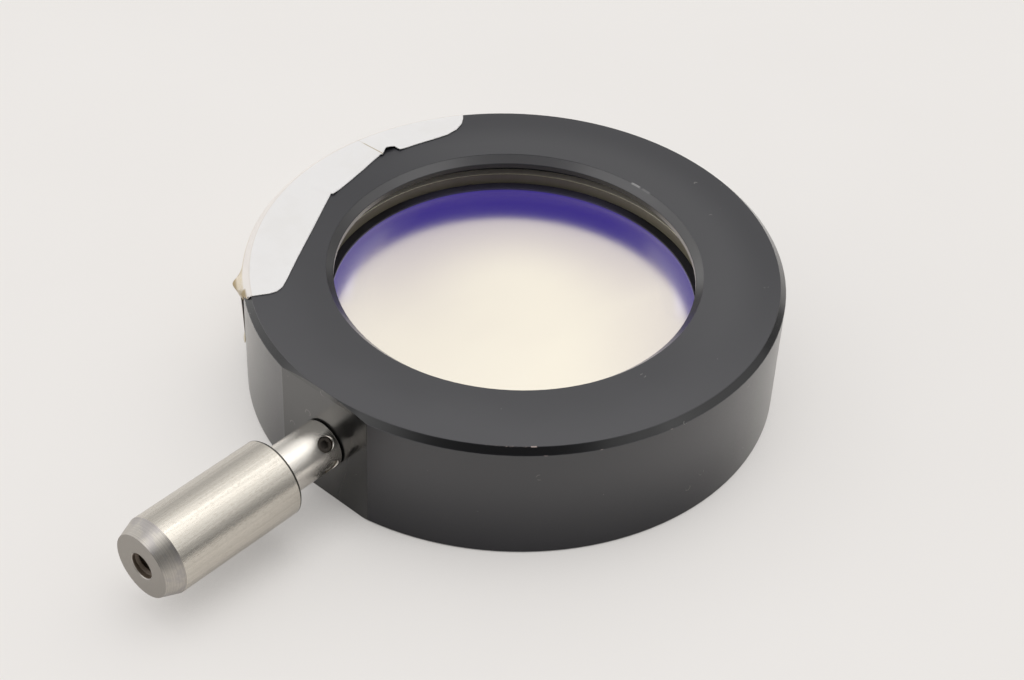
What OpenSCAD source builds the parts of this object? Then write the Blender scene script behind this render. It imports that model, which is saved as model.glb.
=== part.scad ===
// Post-mounted ring holder for a round optic.
// The optical axis is Z. The ring stands on Z = 0 with its front face up,
// and the post points along -Y.

/* [Optic] */
// Diameter of the optic
optic_d = 65; // [40:0.5:90]
// Thickness of the optic
optic_h = 6.35; // [3:0.05:15]
// Bevel round both edges of the optic
optic_bevel = 0.3; // [0.1:0.05:0.6]
// Gap all round between the optic and the cell
optic_gap = 0.2; // [0.05:0.05:0.4]

/* [Ring] */
// Wall of the ring, from the cell's bore to the outside
ring_wall = 10.8; // [8:0.1:20]
// Bevel round the outer front edge of the ring
edge_bevel = 1; // [0.3:0.1:2]
// Bevel round the outer rear edge of the ring
rear_edge_bevel = 0.2; // [0.1:0.05:1]
// How far the flat for the post is cut in from the outside of the ring
flat_depth = 0.95; // [0.6:0.05:2.4]

/* [Front lip] */
// How far the lip reaches in from the cell's bore
lip_reach = 3.6; // [2:0.1:6]
// Thickness of the lip along the optical axis
lip_h = 2; // [1.5:0.1:2.5]
// Bevel round the front edge of the lip's bore
lip_bevel = 1.2; // [0.3:0.1:1.4]

/* [Threaded cell] */
// Length of the run-out groove between the lip and the thread
runout_l = 1.5; // [0.6:0.1:1.8]
// Depth of the run-out groove below the thread's crests
runout_depth = 0.4; // [0.2:0.05:0.6]
// How far the retaining ring sits in from the rear face
rear_recess = 5.15; // [4.4:0.05:15]
// Step from the thread's crests out to the plain pilot bore at the rear
pilot_step = 0.8; // [0.6:0.1:3]
// Depth of the pilot bore
pilot_l = 3; // [1:0.1:3.6]
// Bevel at the start of the thread, inside the pilot bore
thread_bevel = 0.5; // [0.1:0.1:0.6]

/* [Rings in the cell] */
// How far the front stop ring lies below the front face
stop_drop = 4.75; // [4.6:0.05:8]
// Thickness of the front stop ring along the optical axis
stop_h = 2; // [1.2:0.05:4]
// Width of the front stop ring, from its bore to the thread
stop_width = 1.65; // [0.6:0.05:3]
// Thickness of the washer on the front of the optic
washer_h = 0.35; // [0.15:0.05:0.8]
// Width of the washer, from its bore to its outside
washer_width = 2.9; // [1.5:0.1:6]
// Thickness of the retaining ring behind the optic
retainer_h = 2.5; // [1.5:0.1:4]
// Width of the retaining ring, from its bore to the thread
retainer_width = 2.65; // [1.5:0.05:6]
// Bevel on the corners of the stop ring and the retaining ring
ring_corner_bevel = 0.15; // [0.05:0.05:0.25]
// Width of the spanner slots in both threaded rings
slot_w = 2; // [1:0.1:4]
// Depth of the spanner slots
slot_depth = 0.8; // [0.3:0.1:1]
// Angle of the spanner slots round the optical axis
slot_angle = 45; // [0:5:180]
// Gap all round between the threaded rings and the cell
thread_gap = 0.05; // [0.02:0.01:0.1]

/* [Post] */
// Diameter of the neck
neck_d = 8; // [7.4:0.1:10]
// Length of the neck from the flat to the body
neck_l = 10.6; // [10:0.1:20]
// Bevel round the end of the neck that meets the flat
neck_bevel = 0.3; // [0.1:0.05:0.6]
// Diameter of the body
body_d = 12.7; // [11:0.1:18]
// Length of the body with its nose
body_l = 25.4; // [18:0.1:60]
// Bevel round the rear edge of the body
body_bevel = 0.25; // [0.1:0.05:0.6]
// Length of the coned nose
nose_l = 3; // [1:0.1:5]
// How far the nose draws in over its length, on the radius
nose_inset = 1.1; // [0.3:0.1:2.5]
// Depth of the tapped hole in the nose, without its drill point
nose_hole_depth = 10; // [6:0.1:13]

/* [Stud and set screws] */
// Diameter of the joining stud, and of the tapped hole in the nose
stud_d = 4.17; // [3:0.01:4.4]
// Length of the stud inside the neck
stud_in_neck = 7.6; // [6.4:0.1:8.4]
// Wall left between the stud's hole and the cell's bore
stud_back_wall = 2; // [1.2:0.1:3]
// Free depth left past each end of the stud
stud_end_gap = 0.4; // [0.1:0.1:0.8]
// Width across the flats of the stud's socket
stud_socket_af = 2; // [1.2:0.05:2.2]
// Diameter of the set screws
screw_d = 2.5; // [1.6:0.05:2.8]
// How far the set screws lie below the neck's surface
screw_recess = 0.4; // [0:0.05:0.5]
// Bevel at the point of the set screws
screw_point_bevel = 0.35; // [0.1:0.05:0.5]
// Width across the flats of the set screws' sockets
screw_socket_af = 1.27; // [0.7:0.01:1.3]
// Depth of the sockets in the stud and the set screws
socket_depth = 0.8; // [0.4:0.05:0.85]
// Distance of the set screws from the flat
screw_station = 2.3; // [1.9:0.05:5]
// Angle of the upper set screw round the post, up from +X
screw_angle = 47; // [0:1:180]
// Angle between the two set screws
screw_spread = 64; // [60:1:180]
// Countersink at the mouth of each tapped hole, on the radius
countersink = 0.18; // [0.05:0.01:0.3]
// Gap all round between a screw or stud and its hole
screw_gap = 0.03; // [0.01:0.01:0.05]

/* [Label] */
// Thickness of the paper label
label_t = 0.15; // [0.08:0.01:0.3]
// How far the label reaches in from the outside of the ring, over the front face
label_reach = 9.4; // [6:0.1:11]
// How far the label hangs down the rim, from the front face
label_skirt = 17; // [6:0.5:19]

/* [Hidden] */
$fn = 144;

// Everything round the optical axis follows from the optic's diameter.
optic_r = optic_d / 2;
cell_r = optic_r + optic_gap;
insert_r = cell_r - thread_gap;
stop_bore_r = insert_r - stop_width;
washer_bore_r = optic_r - washer_width;
retainer_bore_r = insert_r - retainer_width;
lip_r = cell_r - lip_reach;
pilot_r = cell_r + pilot_step;
ring_r = cell_r + ring_wall;

// The ring is as high as what is stacked in it. Heights go up from the rear face.
retainer_z = rear_recess;
optic_z = retainer_z + retainer_h;
washer_z = optic_z + optic_h;
stop_z = washer_z + washer_h;
ring_h = stop_z + stop_h + stop_drop;
lip_z = ring_h - lip_h;

// The post's own frame starts at the flat, at half the ring's height.
post_z = ring_h / 2;
flat_y = ring_r - flat_depth;
post_l = neck_l + body_l;
neck_r = neck_d / 2;
body_r = body_d / 2;
nose_r = body_r - nose_inset;
stud_r = stud_d / 2;
stud_hole_r = stud_r + screw_gap;
screw_r = screw_d / 2;
screw_hole_r = screw_r + screw_gap;
// The set screws stop at the stud, or where their points would meet on a thin one.
screw_foot_r = max(stud_r, screw_r / tan(screw_spread / 2)) + screw_gap;
screw_l = neck_r - screw_recess - screw_foot_r;

// The stud goes as deep into the ring as the wall behind it allows.
ring_hole_depth = ring_wall - flat_depth - stud_back_wall;
neck_hole_depth = stud_in_neck + stud_end_gap;
stud_in_ring = ring_hole_depth - stud_end_gap;
stud_l = stud_in_ring + stud_in_neck;
screw_angles = [screw_angle, screw_angle - screw_spread];

// A drill point is a cone of 118 degrees.
drill_point_slope = 1 / tan(59);
// A hexagon's corners lie outside its flats by this factor.
hex_corner = 1 / cos(30);
// Cuts run this far past the faces that they open.
over = 1;

// Inner edge of the label: angle round the ring, and reach as a share of label_reach.
// Two short steps are where the paper was pleated to follow the curve.
label_edge = [
    [144.6, 0.10], [145.2, 0.28], [147, 0.46], [155, 0.66], [166, 0.76],
    [169.5, 0.69], [175, 0.79], [195.4, 0.95], [196.4, 0.88], [202, 1], [217.6, 0.98],
    [231, 0.72], [233.6, 0.58], [235, 0.42], [235.6, 0.02]
];
label_first_angle = label_edge[0][0];
label_last_angle = label_edge[len(label_edge) - 1][0];
// The outline closes outside the rim in this many straight steps, which stay clear of the rim
// because their corners lie this much further out.
label_steps = 6;
label_clear = 3;

function polar(r, a) = [r * cos(a), r * sin(a)];

// Places what is drawn along +Z on the post's axis, with Z = 0 on the flat.
module on_post_axis() {
    translate([0, -flat_y, post_z])
        rotate([90, 0, 0])
            children();
}

// Places what is drawn along +Z on the axis of each cross hole in the neck.
module at_cross_holes() {
    for (a = screw_angles)
        rotate([0, 0, a])
            translate([0, 0, screw_station])
                rotate([0, 90, 0])
                    children();
}

// Blind drilled hole that opens at Z = 0 and goes down, with a countersunk mouth.
module blind_hole(r, depth) {
    rotate_extrude()
        polygon([
            [0, -depth - r * drill_point_slope], [r, -depth], [r, -countersink],
            [r + countersink + over, over], [0, over]
        ]);
}

// Hole from inside the stud's hole out through the neck's surface, with a countersunk mouth.
module cross_hole() {
    foot = stud_r / 2;
    rotate_extrude()
        polygon([
            [0, foot], [screw_hole_r, foot], [screw_hole_r, neck_r - countersink],
            [screw_hole_r + countersink + over, neck_r + over], [0, neck_r + over]
        ]);
}

// Hexagon socket that opens at Z = 0 and goes down.
module hex_socket(af) {
    translate([0, 0, -socket_depth])
        cylinder(d = af * hex_corner, h = socket_depth + over, $fn = 6);
}

// Flat ring on the optical axis with all four corners bevelled.
module bevelled_ring(r_in, r_out, h, bevel) {
    rotate_extrude()
        polygon([
            [r_in + bevel, 0], [r_out - bevel, 0], [r_out, bevel], [r_out, h - bevel],
            [r_out - bevel, h], [r_in + bevel, h], [r_in, h - bevel], [r_in, bevel]
        ]);
}

// Threaded ring with two spanner slots across its rear face.
module slotted_ring(r_in, h) {
    difference() {
        bevelled_ring(r_in, insert_r, h, ring_corner_bevel);
        rotate([0, 0, slot_angle])
            translate([-insert_r - over, -slot_w / 2, -over])
                cube([2 * (insert_r + over), slot_w, slot_depth + over]);
    }
}

// Solid pin from Z = 0 to Z = l with its foot and its head bevelled.
module bevelled_pin(r, l, foot_bevel, head_bevel) {
    rotate_extrude()
        polygon([
            [0, 0], [r - foot_bevel, 0], [r, foot_bevel],
            [r, l - head_bevel], [r - head_bevel, l], [0, l]
        ]);
}

module ring_body() {
    runout_r = cell_r + runout_depth;
    color("#2b2b2e")
        difference() {
            rotate_extrude()
                polygon([
                    [ring_r - rear_edge_bevel, 0], [ring_r, rear_edge_bevel],
                    [ring_r, ring_h - edge_bevel], [ring_r - edge_bevel, ring_h],
                    [lip_r + lip_bevel, ring_h], [lip_r, ring_h - lip_bevel], [lip_r, lip_z],
                    [runout_r, lip_z], [runout_r, lip_z - runout_l],
                    [cell_r, lip_z - runout_l - runout_depth],
                    [cell_r, pilot_l + thread_bevel], [cell_r + thread_bevel, pilot_l],
                    [pilot_r, pilot_l], [pilot_r, 0]
                ]);
            translate([-ring_r, -flat_y - flat_depth - over, -over])
                cube([2 * ring_r, flat_depth + over, ring_h + 2 * over]);
            on_post_axis()
                blind_hole(stud_hole_r, ring_hole_depth);
        }
}

module front_stop_ring() {
    color("#4a463c")
        translate([0, 0, stop_z])
            slotted_ring(stop_bore_r, stop_h);
}

module front_washer() {
    color("#141416")
        translate([0, 0, washer_z])
            difference() {
                cylinder(r = optic_r, h = washer_h);
                translate([0, 0, -over])
                    cylinder(r = washer_bore_r, h = washer_h + 2 * over);
            }
}

module optic() {
    color("#ece5c8")
        translate([0, 0, optic_z])
            bevelled_pin(optic_r, optic_h, optic_bevel, optic_bevel);
}

module retaining_ring() {
    color("#2b2b2e")
        translate([0, 0, retainer_z])
            slotted_ring(retainer_bore_r, retainer_h);
}

module post() {
    color("#bdb9b0")
        on_post_axis()
            difference() {
                rotate_extrude()
                    polygon([
                        [0, 0], [neck_r - neck_bevel, 0], [neck_r, neck_bevel],
                        [neck_r, neck_l], [body_r - body_bevel, neck_l],
                        [body_r, neck_l + body_bevel], [body_r, post_l - nose_l],
                        [nose_r, post_l], [0, post_l]
                    ]);
                translate([0, 0, post_l])
                    blind_hole(stud_r, nose_hole_depth);
                mirror([0, 0, 1])
                    blind_hole(stud_hole_r, neck_hole_depth);
                at_cross_holes()
                    cross_hole();
            }
}

module joining_stud() {
    color("#8d8b86")
        on_post_axis()
            translate([0, 0, -stud_in_ring])
                difference() {
                    bevelled_pin(stud_r, stud_l, countersink, countersink);
                    translate([0, 0, stud_l])
                        hex_socket(stud_socket_af);
                }
}

module set_screws() {
    color("#3a3a3c")
        on_post_axis()
            at_cross_holes()
                translate([0, 0, screw_foot_r])
                    difference() {
                        bevelled_pin(screw_r, screw_l, screw_point_bevel, countersink);
                        translate([0, 0, screw_l])
                            hex_socket(screw_socket_af);
                    }
}

// The label is the part of a paper-thin skin over the ring that lies inside the label's outline.
module paper_label() {
    step_angle = (label_first_angle - label_last_angle) / label_steps;
    outside_r = ring_r + label_t + label_clear;
    inner_edge = [for (p = label_edge) polar(ring_r - p[1] * label_reach, p[0])];
    outer_edge = [for (i = [0:label_steps]) polar(outside_r, label_last_angle + i * step_angle)];
    skin_bottom_z = ring_h - label_skirt;
    skin_in_r = ring_r - label_reach - over;
    color("#f1f0ec")
        intersection() {
            rotate_extrude()
                polygon([
                    [skin_in_r, ring_h], [ring_r - edge_bevel, ring_h],
                    [ring_r, ring_h - edge_bevel], [ring_r, skin_bottom_z],
                    [ring_r + label_t, skin_bottom_z], [ring_r + label_t, ring_h - edge_bevel],
                    [ring_r + label_t - edge_bevel, ring_h + label_t],
                    [skin_in_r, ring_h + label_t]
                ]);
            translate([0, 0, skin_bottom_z - over])
                linear_extrude(label_skirt + label_t + 2 * over)
                    polygon(concat(inner_edge, outer_edge));
        }
}

ring_body();
front_stop_ring();
front_washer();
optic();
retaining_ring();
post();
joining_stud();
set_screws();
paper_label();
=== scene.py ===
# %% [markdown]
# # A post-mounted ring holder for a round optic
# This notebook dresses a solid model of a laboratory ring mount. The solids come from the CAD frame,
# in metres, with the optical axis along Z, the rear face of the ring on Z = 0 and the post along -Y.
# Blender adds what a CAD kernel doesn't have: surface finishes, wear, threads and thin paper.

# %% Load the frame
import math

import bpy
import numpy as np
from mathutils import Matrix, Vector


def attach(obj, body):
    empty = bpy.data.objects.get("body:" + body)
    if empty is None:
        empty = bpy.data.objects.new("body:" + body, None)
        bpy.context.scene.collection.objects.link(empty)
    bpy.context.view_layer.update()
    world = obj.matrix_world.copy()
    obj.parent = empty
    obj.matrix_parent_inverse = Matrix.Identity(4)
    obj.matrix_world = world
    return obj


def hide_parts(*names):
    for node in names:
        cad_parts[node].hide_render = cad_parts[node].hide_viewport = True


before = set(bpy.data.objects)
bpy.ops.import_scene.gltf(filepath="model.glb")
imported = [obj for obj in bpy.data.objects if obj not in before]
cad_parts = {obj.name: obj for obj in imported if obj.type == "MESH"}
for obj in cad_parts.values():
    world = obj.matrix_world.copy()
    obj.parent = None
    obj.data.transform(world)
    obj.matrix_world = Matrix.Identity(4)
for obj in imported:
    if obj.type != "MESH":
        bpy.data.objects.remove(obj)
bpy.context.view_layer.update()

MM = 0.001
print("CAD nodes:", ", ".join(sorted(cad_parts)))

# %% [markdown]
# Every later cell works from a few real sizes of the mount. Each is named once here, in millimetres,
# so a reader can follow a formula back to the metal.

# %% Sizes of the mount
RING_R = 43.5
RING_H = 21.1
EDGE_BEVEL = 1.0
REAR_BEVEL = 0.2
LIP_R = 29.1
LIP_BEVEL = 1.2
LIP_H = 2.0
CELL_R = 32.7
STOP_R = 31.0
FLAT_Y = -42.55
POST_Z = RING_H / 2
NECK_R = 4.0
BODY_R = 6.35
BODY_Y = FLAT_Y - 10.6
NOSE_Y = BODY_Y - 25.4
CONE_L = 3.0
STUD_R = 2.085
print("ring", 2 * RING_R, "mm across, post reaches to y =", round(NOSE_Y, 2))

# %% [markdown]
# ## The camera
# A product is usually looked at from above and from one side. The camera stands 350 mm away, about
# 41 degrees up, turned 40 degrees to the right of the post. A slightly long lens keeps the circles
# of the ring close to true ellipses. The matrix is built from the view direction and then rolled,
# because a camera held by hand is never quite level.

# %% Place the camera
def toward(azimuth, elevation):
    """Unit vector at an angle round Z from +X and an angle up from the floor, in degrees."""
    turn, up = math.radians(azimuth), math.radians(elevation)
    return Vector((math.cos(up) * math.cos(turn), math.cos(up) * math.sin(turn), math.sin(up)))


def camera_matrix(place, aim, roll):
    """Columns are the camera's right, up and backward directions, turned by roll about its axis."""
    forward = (aim - place).normalized()
    right = forward.cross(Vector((0, 0, 1))).normalized()
    up = right.cross(forward)
    right_rolled = right * math.cos(roll) + up * math.sin(roll)
    up_rolled = up * math.cos(roll) - right * math.sin(roll)
    turn = Matrix((right_rolled, up_rolled, -forward)).transposed()
    return Matrix.Translation(place) @ turn.to_4x4()


toward_camera = toward(-49.5752, 41.1115)
view_distance = 0.35029
view_roll = math.radians(2.7934)
aim = Vector((-0.00381, 0.00457, 0))
camera_data = bpy.data.cameras.new("camera")
camera_data.sensor_width = 36
camera_data.lens = 73.81
camera_data.clip_start = 0.01
camera_data.clip_end = 50
camera = bpy.data.objects.new("camera", camera_data)
camera.matrix_world = camera_matrix(view_distance * toward_camera, aim, view_roll)
bpy.context.scene.collection.objects.link(camera)
bpy.context.scene.camera = camera
bpy.context.scene.view_settings.view_transform = "Standard"
print("camera", [round(v, 4) for v in camera.matrix_world.translation], "lens", round(camera_data.lens, 2))

# %% [markdown]
# ## Building node trees
# Every finish below is a small graph of nodes. A few helpers keep those graphs readable: one adds a
# node and fills its sockets, some do arithmetic, and one turns a value into a smooth 0-to-1 mask.
# Masks are multiplied to say "here and there", and the larger of two is taken to say "here or there".

# %% Node helpers
def plug(tree, value, socket):
    """Links an output to a socket, or writes a plain value on it."""
    if isinstance(value, bpy.types.NodeSocket):
        tree.links.new(value, socket)
    elif hasattr(socket.default_value, "__len__") and len(socket.default_value) == 4 and len(value) == 3:
        socket.default_value = (*value, 1)
    else:
        socket.default_value = value


def add(tree, kind, settings=None, **inputs):
    """Adds a node, sets its properties, then plugs its named inputs."""
    node = tree.nodes.new(kind)
    for name, value in (settings or {}).items():
        setattr(node, name, value)
    for name, value in inputs.items():
        plug(tree, value, node.inputs[name.replace("_", " ")])
    return node


def calc(tree, operation, *values, clamp=False):
    """One arithmetic step on numbers or outputs."""
    node = tree.nodes.new("ShaderNodeMath")
    node.operation = operation
    node.use_clamp = clamp
    for value, socket in zip(values, node.inputs):
        plug(tree, value, socket)
    return node.outputs[0]


def product(tree, *factors):
    """Several factors multiplied, from left to right."""
    total = factors[0]
    for factor in factors[1:]:
        total = calc(tree, "MULTIPLY", total, factor)
    return total


def largest(tree, *values):
    """The largest of several values."""
    top = values[0]
    for value in values[1:]:
        top = calc(tree, "MAXIMUM", top, value)
    return top


def rise(tree, value, low, high, bottom=0.0, top=1.0):
    """Smooth step: bottom where value is below low, top where it is above high."""
    node = tree.nodes.new("ShaderNodeMapRange")
    node.interpolation_type = "SMOOTHSTEP"
    for item, socket in zip((value, low, high, bottom, top), node.inputs):
        plug(tree, item, socket)
    return node.outputs[0]


def blend(tree, share, first, second):
    """Mixes two numbers, with share 0 for the first and 1 for the second."""
    return add(tree, "ShaderNodeMix", A=first, B=second, Factor=share).outputs[0]


def blend_colour(tree, share, first, second):
    """Mixes two colours, with share 0 for the first and 1 for the second."""
    node = tree.nodes.new("ShaderNodeMix")
    node.data_type = "RGBA"
    plug(tree, share, node.inputs[0])
    plug(tree, first, node.inputs[6])
    plug(tree, second, node.inputs[7])
    return node.outputs[2]


print("node helpers ready")

# %% [markdown]
# Patterns read Object coordinates. The objects sit at the origin, so these are the part's own metres,
# and a millimetre on the metal is a millimetre in the pattern. Round parts are easier to describe by
# their distance from the axis and by the angle round it, so helpers give those too. Wear isn't the
# same all round, so some masks are laid out along one fixed direction on the part, 40 degrees from the
# post towards +X, and across it. They are tied to the part and stay put when the camera moves.

# %% Coordinate helpers
COS_40 = 0.766
SIN_40 = 0.643


def in_millimetres(tree):
    """Object coordinates times 1000, as (vector, x, y, z)."""
    place = add(tree, "ShaderNodeTexCoord").outputs["Object"]
    scaled = add(tree, "ShaderNodeVectorMath", {"operation": "SCALE"}, Vector=place, Scale=1000.0)
    parts = add(tree, "ShaderNodeSeparateXYZ", Vector=scaled.outputs[0])
    return scaled.outputs[0], parts.outputs[0], parts.outputs[1], parts.outputs[2]


def length_of(tree, a, b):
    """Square root of a squared plus b squared."""
    return calc(tree, "SQRT", calc(tree, "ADD", product(tree, a, a), product(tree, b, b)))


def bearing_of(tree, x, y):
    """Angle round the optical axis in degrees, from +X towards +Y."""
    return product(tree, calc(tree, "ARCTAN2", y, x), 180 / math.pi)


def front_of(tree, x, y):
    """Distance from the axis in the direction 40 degrees from the post towards +X."""
    return calc(tree, "SUBTRACT", product(tree, x, SIN_40), product(tree, y, COS_40))


def across_of(tree, x, y):
    """Distance from the axis at a right angle to that direction."""
    return calc(tree, "ADD", product(tree, x, COS_40), product(tree, y, SIN_40))


def aside_of(tree, x, y):
    """Distance to either side of that direction's line."""
    return calc(tree, "ABSOLUTE", across_of(tree, x, y))


print("coordinate helpers ready")

# %% [markdown]
# ## Patterns
# Real surfaces are never even, but each has few kinds of marks. Bands are bright or dark lines at a
# known place. Noise gives grain when it is fine and clouds when it is slow. Dust is a dot in a few
# cells of a Voronoi pattern, and lint is a short piece of a thin circle round such a point. None of
# them needs a picture, so they stay sharp at any distance.

# %% Pattern helpers
def band(tree, value, centre, half_width, softness):
    """1 inside centre plus or minus half_width, falling to 0 over softness."""
    distance = calc(tree, "ABSOLUTE", calc(tree, "SUBTRACT", value, centre))
    return rise(tree, distance, half_width, half_width + softness, 1.0, 0.0)


def noise(tree, vector, scale, detail=2.0, roughness=0.5, stretch=None, seed=0.0):
    """Noise from 0 to 1; stretch multiplies the three axes, and seed shifts the pattern."""
    moved = add(tree, "ShaderNodeMapping", Vector=vector, Scale=stretch or (1, 1, 1),
                Location=(seed, 2 * seed, 3 * seed))
    node = add(tree, "ShaderNodeTexNoise", Vector=moved.outputs[0], Scale=scale, Detail=detail,
               Roughness=roughness)
    return node.outputs[0]


def specks(tree, vector, scale, radius, share, seed=0.0):
    """Dots in a few of the cells of a Voronoi pattern: 1 inside radius of a kept cell's point."""
    moved = add(tree, "ShaderNodeMapping", Vector=vector, Location=(seed, seed, seed))
    cells = add(tree, "ShaderNodeTexVoronoi", Vector=moved.outputs[0], Scale=scale)
    dot = rise(tree, cells.outputs["Distance"], radius * 0.6, radius, 1.0, 0.0)
    pick = add(tree, "ShaderNodeSeparateColor", Color=cells.outputs["Color"]).outputs[0]
    return product(tree, dot, calc(tree, "LESS_THAN", pick, share))


def lint(tree, vector, scale, share, seed=0.0):
    """Short curved fibres: pieces of thin circles round a few of a Voronoi pattern's points."""
    moved = add(tree, "ShaderNodeMapping", Vector=vector, Location=(seed, seed, seed))
    cells = add(tree, "ShaderNodeTexVoronoi", Vector=moved.outputs[0], Scale=scale)
    line = band(tree, cells.outputs["Distance"], 0.16, 0.008, 0.008)
    pick = add(tree, "ShaderNodeSeparateColor", Color=cells.outputs["Color"]).outputs[0]
    cut = rise(tree, noise(tree, vector, scale * 3.5, 1, 0.5, seed=seed), 0.52, 0.57)
    return product(tree, line, cut, calc(tree, "LESS_THAN", pick, share))


def new_finish(name):
    """An empty material with a Principled shader; returns (material, tree, shader)."""
    material = bpy.data.materials.new(name)
    material.use_nodes = True
    tree = material.node_tree
    return material, tree, tree.nodes["Principled BSDF"]


def dress(tree, shader, colour, shine, bump):
    """Plugs colour, roughness and the last bump, which nearly every finish has."""
    plug(tree, colour, shader.inputs["Base Color"])
    plug(tree, shine, shader.inputs["Roughness"])
    plug(tree, bump.outputs[0], shader.inputs["Normal"])


print("pattern helpers ready")

# %% [markdown]
# ## Black anodised aluminium
# The ring is turned from aluminium, blasted lightly and anodised black. The dye leaves almost no
# diffuse colour, so what the eye sees is the gloss of the oxide: a broad, grey sheen on the blasted
# faces, and a sharper one on the edges, which are cut last and stay smooth. One shader does both,
# because the place of each edge is known from the sizes.

# %% Where the cut edges are
def edge_masks(tree, radius, z):
    """1 on the outer chamfers, and 1 on the bevel of the front opening."""
    outside = rise(tree, radius, RING_R - EDGE_BEVEL + 0.02, RING_R - EDGE_BEVEL + 0.10)
    top = rise(tree, z, RING_H - EDGE_BEVEL + 0.02, RING_H - EDGE_BEVEL + 0.10)
    bottom = rise(tree, z, REAR_BEVEL - 0.05, REAR_BEVEL - 0.01, 1.0, 0.0)
    chamfer = product(tree, outside, largest(tree, top, bottom))
    inside = rise(tree, radius, LIP_R + LIP_BEVEL - 0.10, LIP_R + LIP_BEVEL - 0.02, 1.0, 0.0)
    bevel = product(tree, inside, rise(tree, z, RING_H - LIP_BEVEL, RING_H - LIP_BEVEL + 0.1))
    return chamfer, bevel


def flat_mask(tree, y):
    """1 on the milled flat that carries the post."""
    return rise(tree, y, FLAT_Y + 0.01, FLAT_Y + 0.03, 1.0, 0.0)


def cell_mask(tree, radius, z):
    """1 on the threaded wall of the cell, below the front lip."""
    below_lip = rise(tree, z, RING_H - LIP_H - 0.12, RING_H - LIP_H - 0.05, 1.0, 0.0)
    return product(tree, band(tree, radius, CELL_R + 0.2, 0.45, 0.1), below_lip)


def lip_wall_mask(tree, radius, z):
    """1 on the short cylinder of the lip's opening, under its bevel."""
    inner = rise(tree, radius, LIP_R + 0.02, LIP_R + 0.06, 1.0, 0.0)
    return product(tree, inner, rise(tree, z, RING_H - LIP_BEVEL - 0.02, RING_H - LIP_BEVEL, 1.0, 0.0))


def top_mask(tree, z):
    """1 on the front face, which lies uppermost."""
    return rise(tree, z, RING_H - 0.05, RING_H - 0.02)


print("edges found at radius", RING_R - EDGE_BEVEL, "and", LIP_R + LIP_BEVEL)

# %% [markdown]
# Anodising is hard but thin, so it goes first where a sharp edge is knocked. Chips belong on the two
# lines where the upper chamfer begins and ends, so a chip is a band in radius times a band in height
# times a band in angle, broken up by noise. The cell's thread is too fine to model, so it is a height
# for the bump: a zigzag along the axis that is shifted with the angle, which makes it a helix.

# %% Chips, scratch and thread
CELL_PITCH = 0.75
CELL_MID_Z = 10.35
CELL_HALF_L = 6.6


def edge_chips(tree, place, bearing, radius, z):
    """Bare metal along the lines of the upper chamfer: one knock and a few faint scuffed stretches."""
    upper = product(tree, band(tree, radius, RING_R - EDGE_BEVEL, 0.07, 0.06),
                    band(tree, z, RING_H, 0.06, 0.06))
    lower = product(tree, band(tree, radius, RING_R, 0.04, 0.06),
                    band(tree, z, RING_H - EDGE_BEVEL, 0.04, 0.06))
    broken = rise(tree, noise(tree, place, 1.6, 3, 0.7, seed=7.0), 0.46, 0.60)
    wear_and_highlight = product(tree, band(tree, bearing, -49.5, 3.0, 1.5), broken, 0.45)
    knock = largest(tree, band(tree, bearing, -44.2, 0.45, 0.25), wear_and_highlight)
    faint = largest(tree, band(tree, bearing, -42.0, 0.35, 0.3), band(tree, bearing, -31.4, 0.8, 0.5))
    faint = product(tree, faint, broken, 0.6)
    marks = largest(tree, product(tree, upper, knock), product(tree, lower, faint))
    rare = rise(tree, noise(tree, place, 0.9, 3, 0.7, seed=9.0), 0.66, 0.72)
    fine = product(tree, largest(tree, lower, band(tree, z, REAR_BEVEL, 0.04, 0.06)), rare, 0.4)
    return largest(tree, marks, fine)


def lip_scratch(tree, bearing, radius, z):
    """One bright scratch beside the bore, with a faint tail."""
    line = product(tree, band(tree, radius, LIP_R + LIP_BEVEL - 0.02, 0.10, 0.10),
                   rise(tree, z, RING_H - 0.25, RING_H - 0.15))
    tail = product(tree, band(tree, bearing, 85.6, 1.0, 1.2), 0.35)
    ends = calc(tree, "ADD", band(tree, bearing, 89.9, 1.2, 1.0), tail, clamp=True)
    return product(tree, line, ends)


def thread_ridges(tree, bearing, z, radius):
    """Height of the cell's thread: a zigzag along the axis, shifted round the bore into a helix."""
    helix = calc(tree, "ADD", calc(tree, "DIVIDE", z, CELL_PITCH), calc(tree, "DIVIDE", bearing, 360.0))
    inside = product(tree, band(tree, radius, CELL_R, 0.15, 0.05),
                     band(tree, z, CELL_MID_Z, CELL_HALF_L, 0.2))
    return product(tree, calc(tree, "PINGPONG", helix, 0.5), inside)


print("chips, scratch and thread ready")

# %% [markdown]
# The dye isn't equally dark everywhere, and some of its shades are painted light. The front face is
# painted paler towards one side and the sides of the rim a warmer grey, as painted sheen. The bevel of
# the opening is greyer, and greyer still on the far side as painted sheen, and the wall under it has
# painted highlights at both sides. The threaded wall is paler: thin dye, and partly painted light from
# the mirror on its facets. The milled flat has painted shade round the neck and a painted dark
# reflection beside it. One colour with one noise would look like paint, so each place gets its own dye
# through the masks above. Dust and bare metal go on last.

# %% Dye of the ring
def sheen_side(tree, x, y, bottom=0.0, top=1.0):
    """Smooth step across the whole ring, up to top on the side where the sheen is brighter."""
    toward_sheen = calc(tree, "SUBTRACT", product(tree, x, 0.55), y)
    return rise(tree, toward_sheen, -25.0, 48.0, bottom, top)


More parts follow.
